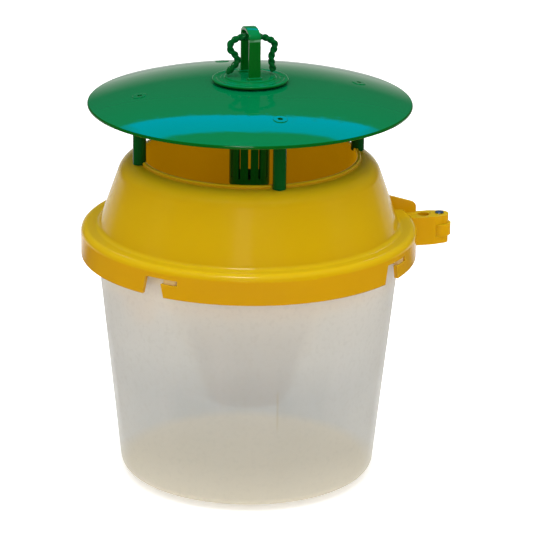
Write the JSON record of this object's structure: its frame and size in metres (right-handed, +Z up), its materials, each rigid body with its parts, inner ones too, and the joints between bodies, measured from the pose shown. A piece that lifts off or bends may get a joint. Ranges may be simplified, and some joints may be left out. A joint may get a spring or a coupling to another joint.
{
  "type": "wasp trap",
  "caption": "Hanging wasp trap: translucent bucket, yellow funnel body with stake clamp, green domed roof on posts, slotted lure cage and strap hanger.",
  "frame": {"origin": "centre of the bucket's underside", "axes": "+Z up along the trap's axis, -Y towards the front, +X to the right; the stake clamp points 15 degrees behind +X"},
  "size_m": [0.1834, 0.165, 0.224],
  "materials": {
    "bucket_translucent": "milky translucent moulded polypropylene, satin gloss",
    "funnel_yellow": "opaque yellow moulded polypropylene, semi-gloss",
    "roof_green": "opaque green moulded polypropylene, gloss",
    "cage_green": "opaque green moulded polypropylene, semi-gloss",
    "wire_green": "green plastic-coated twisted wire",
    "pin_steel": "plain steel pin with a formed head"
  },
  "bodies": {
    "funnel": {"funnel_body": "funnel_yellow", "hinge_pin": "pin_steel"},
    "bucket": {"bucket": "bucket_translucent"},
    "roof": {"lid": "roof_green", "post_front": "roof_green", "post_right": "roof_green", "post_back": "roof_green", "post_left": "roof_green"},
    "cage": {"lure_cage": "cage_green"},
    "cap": {"cage_cap": "cage_green"},
    "hanger": {"hanger_wire": "wire_green"},
    "jaw": {"clamp_jaw": "funnel_yellow"}
  },
  "joints": [
    {"name": "bucket_twist", "type": "hinge", "parent": "funnel", "child": "bucket", "pos_m": [0, 0, 0.118], "axis": [0, 0, 1], "range_deg": [-6.3, 0]},
    {"name": "roof_lift", "type": "slide", "parent": "funnel", "child": "roof", "axis": [0, 0, 1], "range_m": [0, 0.04]},
    {"name": "cage_lift", "type": "slide", "parent": "roof", "child": "cage", "axis": [0, 0, 1], "range_m": [0, 0.06]},
    {"name": "cap_pull", "type": "slide", "parent": "cage", "child": "cap", "axis": [0, 0, 1], "range_m": [0, 0.012]},
    {"name": "hanger_swing", "type": "hinge", "parent": "cap", "child": "hanger", "pos_m": [0, 0, 0.2189], "axis": [0.9659, 0.2588, 0], "range_deg": [0, 180]},
    {"name": "jaw_swing", "type": "hinge", "parent": "funnel", "child": "jaw", "pos_m": [0.09514, 0.02549, 0.11575], "axis": [0, 0, 1], "range_deg": [0, 110]}
  ]
}
